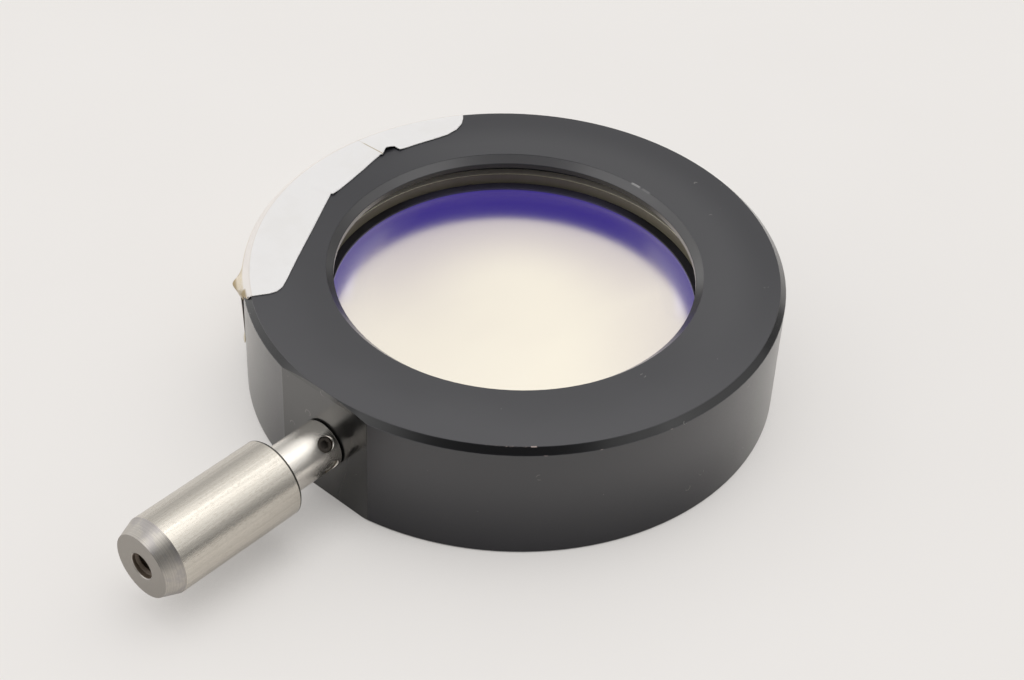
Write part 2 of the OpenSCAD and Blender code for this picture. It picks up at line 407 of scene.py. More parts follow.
def outside_dye(tree, x, y, z, radius, clouds, chamfer):
    """Cloudy black, with painted sheen: paler towards one side of the front face, warmer grey at the sides
    of the rim.
    """
    dye = blend_colour(tree, clouds, (0.0085, 0.0083, 0.0125), (0.0165, 0.0160, 0.0215))
    # Painted sheen: the front face is painted paler towards one side and towards its outer edge.
    outer = rise(tree, calc(tree, "ADD", radius, product(tree, clouds, 6.0)), 33.0, 44.0, 0.35, 1.0)
    painted_sheen = product(tree, sheen_side(tree, x, y), outer, top_mask(tree, z), 0.42)
    dye = blend_colour(tree, painted_sheen, dye, (0.070, 0.069, 0.076))
    # Painted sheen: the rim is painted a warmer grey at its sides, away from the front.
    on_rim = rise(tree, radius, RING_R - 0.1, RING_R - 0.02)
    sides = product(tree, rise(tree, front_of(tree, x, y), 34.0, 8.0), on_rim)
    dye = blend_colour(tree, sides, dye, (0.086, 0.082, 0.076))
    return blend_colour(tree, chamfer, dye, (0.0080, 0.0080, 0.0090))


def opening_dye(tree, dye, x, y, z, radius, bevel):
    """Grey bevel, greyer on the far side as painted sheen, and a brownish wall under it with painted pale
    highlights at both sides.
    """
    # Painted sheen: the bevel is painted greyer on the far side.
    far_side_sheen = rise(tree, front_of(tree, x, y), -4.0, -26.0)
    edge_dye = blend_colour(tree, far_side_sheen, (0.050, 0.049, 0.050), (0.092, 0.091, 0.095))
    dye = blend_colour(tree, bevel, dye, edge_dye)
    # Painted highlights: the wall under the bevel is painted pale at both sides.
    wear_and_highlight = rise(tree, aside_of(tree, x, y), 21.0, 27.0)
    wall_dye = blend_colour(tree, wear_and_highlight, (0.045, 0.045, 0.032), (0.38, 0.365, 0.32))
    return blend_colour(tree, lip_wall_mask(tree, radius, z), dye, wall_dye)


def flat_dye(tree, dye, x, y, z):
    """Milled flat with painted shade blackest in a ring round the neck, and a painted dark reflection of the
    neck on the right of the post.
    """
    from_post = length_of(tree, x, calc(tree, "SUBTRACT", z, POST_Z))
    # Painted shade: black in a ring round the neck.
    clear = rise(tree, from_post, NECK_R + 0.1, NECK_R + 0.35)
    milled = blend_colour(tree, clear, (0.004, 0.004, 0.004), (0.030, 0.029, 0.028))
    # Painted reflection: darker on the right of the post, where the flat mirrors the neck.
    milled = blend_colour(tree, rise(tree, x, 1.0, 6.0, 0.0, 0.75), milled, (0.010, 0.010, 0.010))
    return blend_colour(tree, flat_mask(tree, y), dye, milled)


def marked_dye(tree, dye, place, bearing, radius, z):
    """Paler thread (thin dye, and partly painted light from the mirror), dust and lint, then bare metal in
    the chips and the scratch.
    """
    # Paler in the thread: thin dye, and partly painted light that the mirror throws on its facets.
    dye = blend_colour(tree, cell_mask(tree, radius, z), dye, (0.200, 0.192, 0.184))
    dust = product(tree, specks(tree, place, 0.42, 0.030, 0.16, seed=3.0), 0.5)
    fibres = product(tree, lint(tree, place, 0.28, 0.12, seed=11.0), 0.28)
    dye = blend_colour(tree, largest(tree, dust, fibres), dye, (0.42, 0.41, 0.38))
    dye = blend_colour(tree, edge_chips(tree, place, bearing, radius, z), dye, (0.42, 0.34, 0.32))
    scratch = product(tree, lip_scratch(tree, bearing, radius, z), 0.7)
    return blend_colour(tree, scratch, dye, (0.36, 0.36, 0.36))


print("dye ready")

# %% [markdown]
# Sealed anodising shines like a thin clear coat over the dye. The seal wears as the dye does: it is
# full on the rim, thin on the blasted front face, gone near the foot that slides on the bench, and
# rubbed off in a few stretches of the chamfer. So the coat's weight is a pattern too.

# %% Clear coat of the ring
def coat_on_top(tree, x, y, radius):
    """Thin coat, fuller on the side where the sheen is brighter and round the far half of the opening."""
    inner = product(tree, rise(tree, radius, 41.0, 33.0), rise(tree, y, -6.0, 20.0), 0.36)
    return calc(tree, "ADD", sheen_side(tree, x, y, 0.20, 0.47), inner)


def coat_on_rim(tree, x, y, z):
    """Full coat, thinner towards the foot of the front quarter."""
    foot = product(tree, rise(tree, front_of(tree, x, y), 13.0, 39.0), rise(tree, z, 0.0, 17.0, 0.95, 0.0))
    return product(tree, calc(tree, "SUBTRACT", 1.0, foot), 0.92)


def coat_in_opening(tree, x, y, radius):
    """Coat on the bevel, thinner at both sides and none on the wall below it."""
    thin = rise(tree, aside_of(tree, x, y), 8.0, 24.0, 0.92, 0.28)
    return product(tree, thin, rise(tree, radius, LIP_R + 0.02, LIP_R + 0.10))


def coat_on_chamfer(tree, bearing):
    """Coat on the chamfer, scuffed off in four stretches."""
    on_the_right = band(tree, bearing, 23.0, 4.0, 6.0)
    left_of_post = band(tree, bearing, -116.0, 12.0, 8.0)
    over_post = band(tree, bearing, -84.0, 1.5, 3.0)
    beside_knock = product(tree, band(tree, bearing, -23.0, 2.5, 5.0), 0.6)
    wear_and_highlight = largest(tree, on_the_right, left_of_post, over_post, beside_knock)
    return calc(tree, "SUBTRACT", 0.74, product(tree, wear_and_highlight, 0.58))


def anodised_coat(tree, x, y, z, radius, bearing, chamfer):
    """The coats of the four places, put together by their masks."""
    outside = rise(tree, radius, 36.0, 37.0)
    coat = blend(tree, outside, coat_in_opening(tree, x, y, radius), coat_on_rim(tree, x, y, z))
    coat = blend(tree, top_mask(tree, z), coat, coat_on_top(tree, x, y, radius))
    coat = blend(tree, chamfer, coat, coat_on_chamfer(tree, bearing))
    right_flat = product(tree, flat_mask(tree, y), rise(tree, x, 1.0, 6.0), 0.8)
    return product(tree, coat, calc(tree, "SUBTRACT", 1.0, right_flat))


print("clear coat ready")

# %% [markdown]
# Roughness decides how wide the sheen is. Fine noise breaks it into grain on the blasted faces, and
# slow noise clouds it the way handling does. Cut edges are smoother, and the milled flat is almost a
# mirror, so it shows the post's neck. The grain and the thread are bumps.

# %% Anodised finish
FACE_ROUGH = 0.42
EDGE_ROUGH = 0.18
FLAT_ROUGH = 0.11


def anodised_finish(name):
    """Dark dye under a clear coat, a broad sheen on blasted faces, a sharper one on cut edges."""
    material, tree, shader = new_finish(name)
    place, x, y, z = in_millimetres(tree)
    radius = length_of(tree, x, y)
    bearing = bearing_of(tree, x, y)
    chamfer, bevel = edge_masks(tree, radius, z)
    clouds = noise(tree, place, 0.07, 3, 0.55, seed=4.0)
    dye = outside_dye(tree, x, y, z, radius, clouds, chamfer)
    dye = opening_dye(tree, dye, x, y, z, radius, bevel)
    dye = flat_dye(tree, dye, x, y, z)
    dye = marked_dye(tree, dye, place, bearing, radius, z)
    grain = noise(tree, place, 5.5, 2, 0.6)
    shine = rise(tree, grain, 0.3, 0.7, FACE_ROUGH - 0.04, FACE_ROUGH + 0.04)
    shine = calc(tree, "ADD", shine, product(tree, calc(tree, "SUBTRACT", clouds, 0.5), 0.10))
    shine = blend(tree, largest(tree, chamfer, bevel), shine, EDGE_ROUGH)
    shine = blend(tree, flat_mask(tree, y), shine, FLAT_ROUGH)
    bump = add(tree, "ShaderNodeBump", Strength=0.10, Distance=0.00003, Height=grain)
    bump = add(tree, "ShaderNodeBump", Strength=1.0, Distance=0.0007, Normal=bump.outputs[0],
               Height=thread_ridges(tree, bearing, z, radius))
    dress(tree, shader, dye, shine, bump)
    plug(tree, anodised_coat(tree, x, y, z, radius, bearing, chamfer), shader.inputs["Coat Weight"])
    shader.inputs["IOR"].default_value = 1.5
    shader.inputs["Coat Roughness"].default_value = 0.28
    return material


black_anodised = anodised_finish("black_anodised")
print("finish", black_anodised.name, len(black_anodised.node_tree.nodes), "nodes")

# %% [markdown]
# The stop ring in front of the optic is thinner, a black ring whose olive brown is painted light: it
# stands in for the cream light that the mirror throws up onto it, and its top bevel and top face carry
# painted highlights. The washer under it is black, painted blacker at both sides, where shade falls.
# One recipe serves both, and the screws later: a turned surface between two shades, with zones of
# another colour.

# %% Stop ring and washer
def two_shade_finish(name, dark, pale, low, high, speck_colour, zones=()):
    """Turned surface whose colour drifts between two shades; low and high bound the roughness.

    Each zone is (r, z or side, start, end, colour): the colour turns to that one as the coordinate
    passes from start to end. Side is the distance across the mount, to either side.
    """
    material, tree, shader = new_finish(name)
    place, x, y, z = in_millimetres(tree)
    clouds = noise(tree, place, 0.25, 3, 0.6, seed=2.0)
    radius = length_of(tree, x, y)
    rings = noise(tree, add(tree, "ShaderNodeCombineXYZ", X=radius, Z=z).outputs[0], 7.0, 2, 0.6)
    colour = blend_colour(tree, clouds, dark, pale)
    distance = {"r": radius, "z": z, "side": aside_of(tree, x, y)}
    uneven = rise(tree, clouds, 0.2, 0.8, 0.85, 1.0)
    for axis, start, end, zone_colour in zones:
        share = product(tree, rise(tree, distance[axis], start, end), uneven)
        colour = blend_colour(tree, share, colour, zone_colour)
    dust = product(tree, specks(tree, place, 0.6, 0.05, 0.2, seed=5.0), 0.6)
    colour = blend_colour(tree, dust, colour, speck_colour)
    shine = rise(tree, rings, 0.3, 0.7, low, high)
    bump = add(tree, "ShaderNodeBump", Strength=0.15, Distance=0.00003, Height=rings)
    dress(tree, shader, colour, shine, bump)
    return material


# Painted highlights on the stop ring's top bevel and on its paler top face.
highlit_bevel = ("r", STOP_R + 0.03, STOP_R + 0.08, (0.84, 0.79, 0.58))
grey_face = ("r", STOP_R + 0.12, STOP_R + 0.22, (0.75, 0.70, 0.60))
# Painted light: the olive brown stands in for the cream light that the mirror throws up onto a black ring.
stop_black = two_shade_finish("stop_ring_black", (0.176, 0.160, 0.110), (0.238, 0.216, 0.150), 0.30, 0.40,
                          (0.34, 0.33, 0.28), [highlit_bevel, grey_face])
# Painted shade: the washer is painted blacker at both sides.
shaded_sides = ("side", 12.0, 23.0, (0.012, 0.011, 0.014))
washer_black = two_shade_finish("washer_black", (0.066, 0.062, 0.105), (0.094, 0.090, 0.142), 0.42, 0.55,
                            (0.20, 0.20, 0.20), [shaded_sides])
print("finishes", stop_black.name, washer_black.name)

# %% [markdown]
# ## The coated optic
# A dichroic mirror reflects most of the spectrum and lets the violet end through. Its coating is on the
# front face, so it shows a warm, creamy reflection of the room, and a deep violet where it reflects
# something dark, because the light that passes through the glass from behind is violet. A metallic
# shader with a cream colour is the reflection, and a faint violet emission stands for the light from
# behind. Dust dulls the mirror a little, so its roughness rises in specks and in wiped smears. Towards
# both sides it is rougher and less metal, and its cream is darker towards the far side and both sides.
# The two ends of the violet band are painted light: a paler cream and a still smaller metal share paint
# them pale.

# %% Dichroic coating
MOST_NON_METAL = 0.235  # with more, the denoiser leaves fine lines on the mirror


def coating_finish(name):
    """Mirror that reflects cream and glows faintly violet, dulled by dust and wipe marks."""
    material, tree, shader = new_finish(name)
    place, x, y, z = in_millimetres(tree)
    smears = noise(tree, place, 0.12, 3, 0.6, stretch=(1, 0.35, 1), seed=8.0)
    dust = specks(tree, place, 0.45, 0.035, 0.3, seed=6.0)
    cream = blend_colour(tree, smears, (0.945, 0.90, 0.57), (0.92, 0.872, 0.54))
    cream = blend_colour(tree, product(tree, dust, 0.5), cream, (0.55, 0.54, 0.50))
    radius = length_of(tree, x, y)
    front = front_of(tree, x, y)
    across = across_of(tree, x, y)
    aside = aside_of(tree, x, y)
    # The mirror's cream is darker towards the far side and both sides.
    dull = product(tree, rise(tree, front, 14.0, -20.0), rise(tree, radius, 4.0, 22.0))
    dull = largest(tree, dull, rise(tree, across, 6.0, 27.0, 0.0, 0.55))
    cream = blend_colour(tree, dull, cream, (0.64, 0.595, 0.385))
    # Painted light: the two ends of the violet band are painted paler, in colour and in a less metal share.
    painted_pale_ends = product(tree, rise(tree, aside, 20.0, 27.5), rise(tree, radius, 22.5, 26.0),
                    rise(tree, radius, 25.5, 29.0, 1.0, 0.45), rise(tree, front, 5.0, -2.0))
    outer_painted_pale = product(tree, painted_pale_ends, rise(tree, radius, 25.5, 27.5))
    cream = blend_colour(tree, outer_painted_pale, cream, (0.90, 0.86, 0.76))
    ends = rise(tree, aside, 14.0, 28.0)
    haze = rise(tree, smears, 0.35, 0.75, 0.175, 0.205)
    haze = calc(tree, "ADD", haze, product(tree, ends, 0.045))
    haze = calc(tree, "ADD", haze, product(tree, dust, 0.2))
    non_metal = product(tree, ends, rise(tree, radius, 20.0, 28.0), 0.18)
    non_metal = calc(tree, "ADD", non_metal, product(tree, painted_pale_ends, 0.42))
    non_metal = calc(tree, "MINIMUM", non_metal, MOST_NON_METAL)
    plug(tree, cream, shader.inputs["Base Color"])
    plug(tree, calc(tree, "SUBTRACT", 1.0, non_metal), shader.inputs["Metallic"])
    plug(tree, haze, shader.inputs["Roughness"])
    shader.inputs["Emission Color"].default_value = (0.175, 0.108, 1.0, 1)
    shader.inputs["Emission Strength"].default_value = 0.220
    return material


coated_optic = coating_finish("coated_optic")
print("finish", coated_optic.name)

# %% [markdown]
# ## Turned steel
# The post is stainless steel, finished on a lathe and rubbed down along its length. Turning leaves fine
# grooves round the axis, and rubbing leaves long streaks along it. Both are noise, stretched in the
# post's own cylinder coordinates, so one runs round the bar and the other along it. End faces carry
# rings instead.

# %% Marks of the lathe
def steel_grain(tree, place, x, y, up):
    """Grooves round the axis, streaks along it, blotches and brown specks."""
    turn = calc(tree, "ARCTAN2", up, x)
    along = add(tree, "ShaderNodeCombineXYZ", X=calc(tree, "COSINE", turn), Y=calc(tree, "SINE", turn),
                Z=product(tree, y, 0.0015)).outputs[0]
    streaks = noise(tree, along, 12.0, 4, 0.65, seed=1.0)
    across = add(tree, "ShaderNodeCombineXYZ", X=length_of(tree, x, up), Y=y).outputs[0]
    grooves = noise(tree, across, 14.0, 3, 0.6, seed=5.0)
    blotches = noise(tree, place, 0.35, 3, 0.6, seed=6.0)
    long_specks = noise(tree, place, 4.5, 4, 0.75, stretch=(1, 0.35, 1), seed=12.0)
    return streaks, grooves, blotches, rise(tree, long_specks, 0.48, 0.66)


print("lathe marks ready")

# %% [markdown]
# The post isn't finished alike all over. Its cone and nose keep coarse turning marks, and its neck is
# painted paler as a painted highlight. A painted dark line at either end of the neck stands for the dark
# ring reflected in the body's shoulder and for the shade where the neck meets the flat, and the tapped
# hole is dull brown. Each place is picked out by the distance along the post and from the post's axis.

# %% Places on the post
def post_zones(tree, colour, shine, grooves, blotches, radius, y):
    """Coarse cone and nose, a neck painted paler as a highlight, a painted dark line at either end of the
    neck, dull brown hole.
    """
    cone = rise(tree, y, NOSE_Y + CONE_L + 0.02, NOSE_Y + CONE_L - 0.06)
    turned = blend_colour(tree, rise(tree, grooves, 0.35, 0.65), (0.38, 0.355, 0.325), (0.56, 0.53, 0.485))
    turned = blend_colour(tree, rise(tree, blotches, 0.45, 0.60, 0.0, 0.5), turned, (0.36, 0.34, 0.35))
    colour = blend_colour(tree, cone, colour, turned)
    shine = blend(tree, cone, shine, rise(tree, grooves, 0.3, 0.7, 0.33, 0.42))
    # Painted highlight: the neck is painted paler.
    neck = product(tree, rise(tree, y, BODY_Y + 0.1, BODY_Y + 0.3),
                   rise(tree, radius, NECK_R - 0.2, NECK_R - 0.1), 0.7)
    colour = blend_colour(tree, neck, colour, (0.88, 0.84, 0.785))
    faced = blend_colour(tree, grooves, (0.27, 0.252, 0.23), (0.40, 0.376, 0.345))
    colour = blend_colour(tree, rise(tree, y, NOSE_Y + 0.03, NOSE_Y + 0.01), colour, faced)
    # Painted dark lines: the ring reflected in the body's shoulder, and shade where the neck meets the flat.
    shoulder = product(tree, band(tree, y, BODY_Y - 0.20, 0.20, 0.06),
                       rise(tree, radius, BODY_R - 0.75, BODY_R - 0.45), 0.88)
    joint = product(tree, rise(tree, y, FLAT_Y - 0.45, FLAT_Y - 0.25),
                    rise(tree, radius, NECK_R + 0.6, NECK_R + 0.3))
    colour = blend_colour(tree, largest(tree, shoulder, joint), colour, (0.020, 0.019, 0.018))
    hole = product(tree, rise(tree, radius, STUD_R + 0.065, STUD_R + 0.025),
                   rise(tree, y, FLAT_Y - 15.0, FLAT_Y - 16.0))
    colour = blend_colour(tree, hole, colour, (0.150, 0.115, 0.085))
    shine = blend(tree, hole, shine, 0.5)
    metal = calc(tree, "SUBTRACT", 1.0, product(tree, largest(tree, hole, joint), 0.8))
    return colour, shine, metal


print("cone starts at y =", round(NOSE_Y + CONE_L, 2))

# %% [markdown]
# The bar is a metal of two close shades, mixed by the streaks, and its roughness follows the grooves.
# The stud inside the ring is duller.

# %% Steel finish
def steel_finish(name, pale, dark, low, high, zones=None):
    """Metal with fine grooves round the post's axis and long streaks along it."""
    material, tree, shader = new_finish(name)
    place, x, y, z = in_millimetres(tree)
    up = calc(tree, "SUBTRACT", z, POST_Z)
    streaks, grooves, blotches, brown = steel_grain(tree, place, x, y, up)
    colour = blend_colour(tree, rise(tree, streaks, 0.3, 0.7), dark, pale)
    colour = blend_colour(tree, rise(tree, blotches, 0.45, 0.75, 0.0, 0.35), colour, dark)
    colour = blend_colour(tree, product(tree, brown, 0.30), colour, (0.44, 0.385, 0.32))
    shine = rise(tree, grooves, 0.3, 0.7, low, high)
    shine = calc(tree, "ADD", shine, product(tree, calc(tree, "SUBTRACT", streaks, 0.5), 0.06))
    metal = 1.0
    if zones:
        radius = length_of(tree, x, up)
        colour, shine, metal = zones(tree, colour, shine, grooves, blotches, radius, y)
    bump = add(tree, "ShaderNodeBump", Strength=0.22, Distance=0.00002, Height=grooves)
    bump = add(tree, "ShaderNodeBump", Strength=0.15, Distance=0.00003, Height=brown, Normal=bump.outputs[0])
    dress(tree, shader, colour, shine, bump)
    plug(tree, metal, shader.inputs["Metallic"])
    return material


turned_steel = steel_finish("turned_steel", (0.665, 0.628, 0.565), (0.580, 0.545, 0.487), 0.18, 0.26,
                            post_zones)
stud_steel = steel_finish("stud_steel", (0.50, 0.48, 0.45), (0.32, 0.30, 0.28), 0.30, 0.42)
print("finishes", turned_steel.name, stud_steel.name)

# %% [markdown]
# The set screws are hardened and blackened in oil, so they are darker than the bar and a little glossy.

# %% Screw finish
screw_black = two_shade_finish("screw_black", (0.048, 0.040, 0.034), (0.090, 0.078, 0.066), 0.30, 0.45,
                           (0.30, 0.28, 0.25), [("z", POST_Z + 0.4, POST_Z, (0.36, 0.335, 0.30))])
print("finish", screw_black.name)

# %% [markdown]
# ## Dressing the solids
# The turned parts already have the right shape, so each keeps its mesh and only its material slot
# changes.

# %% Put finishes on the CAD nodes
finish_of_node = {
    "ring_body": black_anodised,
    "retaining_ring": black_anodised,
    "front_stop_ring": stop_black,
    "front_washer": washer_black,
    "optic": coated_optic,
    "post": turned_steel,
    "joining_stud": stud_steel,
    "set_screws": screw_black,
}
for node_name, finish in finish_of_node.items():
    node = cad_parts[node_name]
    for slot in node.material_slots:
        slot.material = finish
    print(node_name, len(node.data.polygons), "faces wear", finish.name)

# %% [markdown]
# ## The paper label
# An adhesive label is stuck over the front edge of the ring. Paper can't bend two ways at once, so
# where it follows the ring it was pleated twice. It could be draped by simulation, but its outline is
# known and it hardly sags, so it is one surface of two parameters: the angle round the ring, and the
# distance across the paper from its inner edge, over the chamfer and down the rim.

# %% Grid helper
def grid_mesh(name, points, finish):
    """Quads between neighbouring points of an (n, m, 3) grid, in metres."""
    rows, columns = points.shape[:2]
    index = np.arange(rows * columns).reshape(rows, columns)
    quads = np.stack((index[:-1, :-1], index[1:, :-1], index[1:, 1:], index[:-1, 1:]), axis=-1)
    mesh = bpy.data.meshes.new(name)
    mesh.from_pydata(points.reshape(-1, 3).tolist(), [], quads.reshape(-1, 4).tolist())
    mesh.update()
    mesh.polygons.foreach_set("use_smooth", np.ones(len(mesh.polygons), dtype=bool))
    mesh.materials.append(finish)
    piece = bpy.data.objects.new(name, mesh)
    bpy.context.scene.collection.objects.link(piece)
    return piece


def smooth_step(value, low, high):
    """0 below low, 1 above high, smooth between."""
    t = np.clip((value - low) / (high - low), 0, 1)
    return t * t * (3 - 2 * t)


print("grid helper ready")

# %% [markdown]
# The inner edge isn't one arc. The paper was cut straight between a few corners, and each pleat shifts
# the next panel a little. So the edge is three runs of corners, walked in equal steps.

# %% Inner edge of the paper
# Each panel's corners as (angle round the ring in degrees, distance from the axis in mm).
panel_by_post = [(236.0, 43.0), (235.95, 41.4), (235.9, 39.7), (235.4, 38.4), (234.0, 37.4),
                 (231.4, 36.6), (222.2, 34.8), (210.0, 33.8), (198.2, 34.4), (193.0, 35.1)]
panel_middle = [(192.8, 34.7), (185.4, 34.7), (178.4, 35.35), (173.5, 36.25), (170.9, 36.7)]
panel_far = [(170.5, 36.5), (168.4, 37.45), (165.9, 37.25), (165.3, 36.15), (160.9, 36.3),
             (155.1, 36.6), (150.7, 37.15), (147.7, 38.25), (145.8, 39.75), (144.9, 41.4), (144.7, 42.4)]


def inner_edge(rows):
    """Walks the three panels' corners in straight lines, in equal steps; returns angle and radius."""
    corner = np.array(panel_by_post + panel_middle + panel_far)
    turn = np.radians(corner[:, 0])
    x, y = corner[:, 1] * np.cos(turn), corner[:, 1] * np.sin(turn)
    walked = np.concatenate(([0], np.cumsum(np.hypot(np.diff(x), np.diff(y)))))
    step = np.linspace(0, walked[-1], rows)
    x, y = np.interp(step, walked, x), np.interp(step, walked, y)
    return np.degrees(np.arctan2(y, x)) % 360, np.hypot(x, y)


edge_angle, edge_radius = inner_edge(420)
print("paper spans", round(float(edge_angle.min()), 1), "to", round(float(edge_angle.max()), 1), "degrees,",
      "from radius", round(float(edge_radius.min()), 1))

# %% [markdown]
# Across the paper, five corners are enough: the inner edge, the crease above the chamfer, the fold
# outside the rim, a point halfway down and the lower end. Near the post the fold stands out as an ear
# and the paper below it is torn away. At the two pleats the inner edge lifts a little.

# %% Paper section
PAPER_GAP = 0.10
PAPER_Z = RING_H + PAPER_GAP
LABEL_END_Z = 4.1
TORN_Z = 19.3
EAR_ANGLE = 231.5
FAR_PLEAT = 168.0
NEAR_PLEAT = 192.2


def paper_section(angle, inner):
    """The five corners at each angle, as one array of radii and one of heights."""
    ear = np.exp(-((angle - EAR_ANGLE) / 4.2) ** 2) * smooth_step(-angle, -236.1, -234.4)
    torn = smooth_step(angle, 224.0, 229.0)
    far_lift = 0.50 * np.exp(-((angle - FAR_PLEAT) / 2.6) ** 2)
    near_lift = 0.16 * np.exp(-((angle - NEAR_PLEAT) / 1.2) ** 2)
    ripple = 0.06 * np.sin(np.radians(angle * 11)) + 0.036 * np.sin(np.radians(angle * 23))
    crease = np.maximum(RING_R - EDGE_BEVEL + ripple, inner + 0.05)
    rim = RING_R + PAPER_GAP
    stand_off = 1.45 * ear
    fold_z = RING_H - 0.95 + 0.55 * ear
    end_z = LABEL_END_Z + (TORN_Z - LABEL_END_Z) * torn
    corner_r = (inner, crease, rim + stand_off, rim + 0.7 * stand_off, rim + 0.5 * stand_off)
    corner_z = (PAPER_Z + far_lift + near_lift, np.full(len(angle), PAPER_Z), fold_z,
                end_z + 0.5 * (fold_z - end_z), end_z)
    return np.stack(corner_r, axis=1), np.stack(corner_z, axis=1)


print("paper folds at z =", round(RING_H - 0.95, 2), "and ends at z =", LABEL_END_Z)

# %% [markdown]
# Each section is walked along its corners in equal steps, so the quads stay even. Averaging each point
# with its neighbours then rounds the corners, as paper does. The tail near the post is loose and hangs
# away from the rim, and the cut end slants.

# %% Paper surface
def label_points(rows=420, columns=130):
    """The whole sheet as a grid: rows go round the ring, columns across the paper."""
    angle, inner = inner_edge(rows)
    corner_r, corner_z = paper_section(angle, inner)
    leg = np.hypot(np.diff(corner_r, axis=1), np.diff(corner_z, axis=1))
    walked = np.concatenate((np.zeros((rows, 1)), np.cumsum(leg, axis=1)), axis=1)
    travel = np.linspace(0, 1, columns)[None, :] * walked[:, -1:]
    radius = np.repeat(corner_r[:, :1], columns, axis=1)
    height = np.repeat(corner_z[:, :1], columns, axis=1)
    for k in range(4):
        share = np.clip((travel - walked[:, k:k + 1]) / leg[:, k:k + 1], 0, 1)
        radius += share * (corner_r[:, k + 1:k + 2] - corner_r[:, k:k + 1])
        height += share * (corner_z[:, k + 1:k + 2] - corner_z[:, k:k + 1])
    for _ in range(3):
        radius[:, 1:-1] = (radius[:, :-2] + 2 * radius[:, 1:-1] + radius[:, 2:]) / 4
        height[:, 1:-1] = (height[:, :-2] + 2 * height[:, 1:-1] + height[:, 2:]) / 4
    tail = 0.55 * smooth_step(angle, 212, 217) * smooth_step(-angle, -226, -222)
    radius += tail[:, None] * smooth_step(-height, -6.5, -LABEL_END_Z)
    outside = smooth_step(radius, RING_R - 0.5, RING_R + 0.3)
    slant = 2.2 * outside * smooth_step(angle, 228, 236)[:, None]
    bearing = np.radians(angle[:, None] - slant)
    return np.stack((radius * np.cos(bearing), radius * np.sin(bearing), height), axis=-1) * MM


paper_points = label_points()
print("paper grid", paper_points.shape)

# %% [markdown]
# Paper looks like paper through its fibres: fine noise in colour and height. Age shows where it was
# bent or glued: the fold and the lower end are yellower, and the ear, the end beside it and the seam of
# the far pleat are brown. Outward from the crease the paper is painted darker, with a darker line along
# the crease: painted shade where it turns down over the chamfer.

# %% Paper finish
def paper_stains(tree, x, y, radius):
    """1 where the paper is brown. Angles are measured from -X, so that they don't wrap on the label."""
    bearing = bearing_of(tree, product(tree, x, -1.0), product(tree, y, -1.0))
    tip = product(tree, rise(tree, radius, RING_R + 0.75, RING_R + 1.2), rise(tree, bearing, 46.0, 49.0))
    end = product(tree, rise(tree, radius, RING_R - 0.5, RING_R - 0.1), rise(tree, bearing, 52.8, 53.6))
    slanted = calc(tree, "SUBTRACT", bearing, product(tree, radius, 0.24))
    seam = product(tree, band(tree, slanted, -18.43, 0.08, 0.12),
                   rise(tree, radius, 41.6, 40.6, 0.25, 1.0), 0.8)
    return largest(tree, tip, end, seam)


def paper_finish(name):
    """White paper with fibres, painted shade at the crease, yellowed where it is folded or glued, browned in
    three places.
    """
    material, tree, shader = new_finish(name)
    place, x, y, z = in_millimetres(tree)
    radius = length_of(tree, x, y)
    fibres = noise(tree, place, 3.5, 4, 0.7, seed=2.0)
    clouds = noise(tree, place, 0.18, 2, 0.5, seed=5.0)
    colour = blend_colour(tree, fibres, (0.800, 0.788, 0.784), (0.842, 0.830, 0.826))
    colour = blend_colour(tree, rise(tree, clouds, 0.45, 0.75, 0.0, 0.5), colour, (0.785, 0.768, 0.752))
    # Painted shade: outward from the crease the paper is darker, with a darker line along the crease.
    crease = product(tree, rise(tree, radius, RING_R - 1.35, RING_R - 0.95), 0.7)
    colour = blend_colour(tree, crease, colour, (0.790, 0.735, 0.690))
    line = product(tree, band(tree, radius, RING_R - 1.1, 0.03, 0.10), 0.45)
    colour = blend_colour(tree, line, colour, (0.66, 0.60, 0.55))
    fold = product(tree, rise(tree, radius, RING_R - 0.15, RING_R + 0.15),
                   rise(tree, fibres, 0.35, 0.6, 0.5, 0.9),
                   rise(tree, z, RING_H - 2.4, RING_H - 0.9, 0.25, 1.0))
    colour = blend_colour(tree, fold, colour, (0.68, 0.58, 0.42))
    glue = product(tree, rise(tree, z, 7.0, 5.0), rise(tree, clouds, 0.3, 0.5, 0.6, 1.0))
    colour = blend_colour(tree, glue, colour, (0.60, 0.52, 0.34))
    colour = blend_colour(tree, paper_stains(tree, x, y, radius), colour, (0.40, 0.31, 0.18))
    bump = add(tree, "ShaderNodeBump", Strength=0.2, Distance=0.00005, Height=fibres)
    dress(tree, shader, colour, rise(tree, fibres, 0.3, 0.7, 0.5, 0.62), bump)
    return material


label_paper = paper_finish("label_paper")
print("finish", label_paper.name)

# %% [markdown]
# The CAD label is a plain skin, so the pleated sheet takes its place. A little thickness lets its edge
# catch light and cast a shadow.

# %% Put the label on
label = grid_mesh("paper_label_sheet", paper_points, label_paper)
thickness = label.modifiers.new("thickness", "SOLIDIFY")
thickness.thickness = 0.12 * MM
thickness.offset = 0
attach(label, "root")
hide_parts("paper_label")
print("label", len(label.data.polygons), "faces")

# %% [markdown]
# ## The thread in the nose
# The nose of the post is tapped for a stud. The CAD hole is a plain cylinder at the thread's major
# diameter, so the thread itself is a ridge inside it: a triangle carried along a helix.

# %% Helical ridge
THREAD_PITCH = 0.907
THREAD_HEIGHT = 0.42
THREAD_START = 0.55
THREAD_END = 9.2


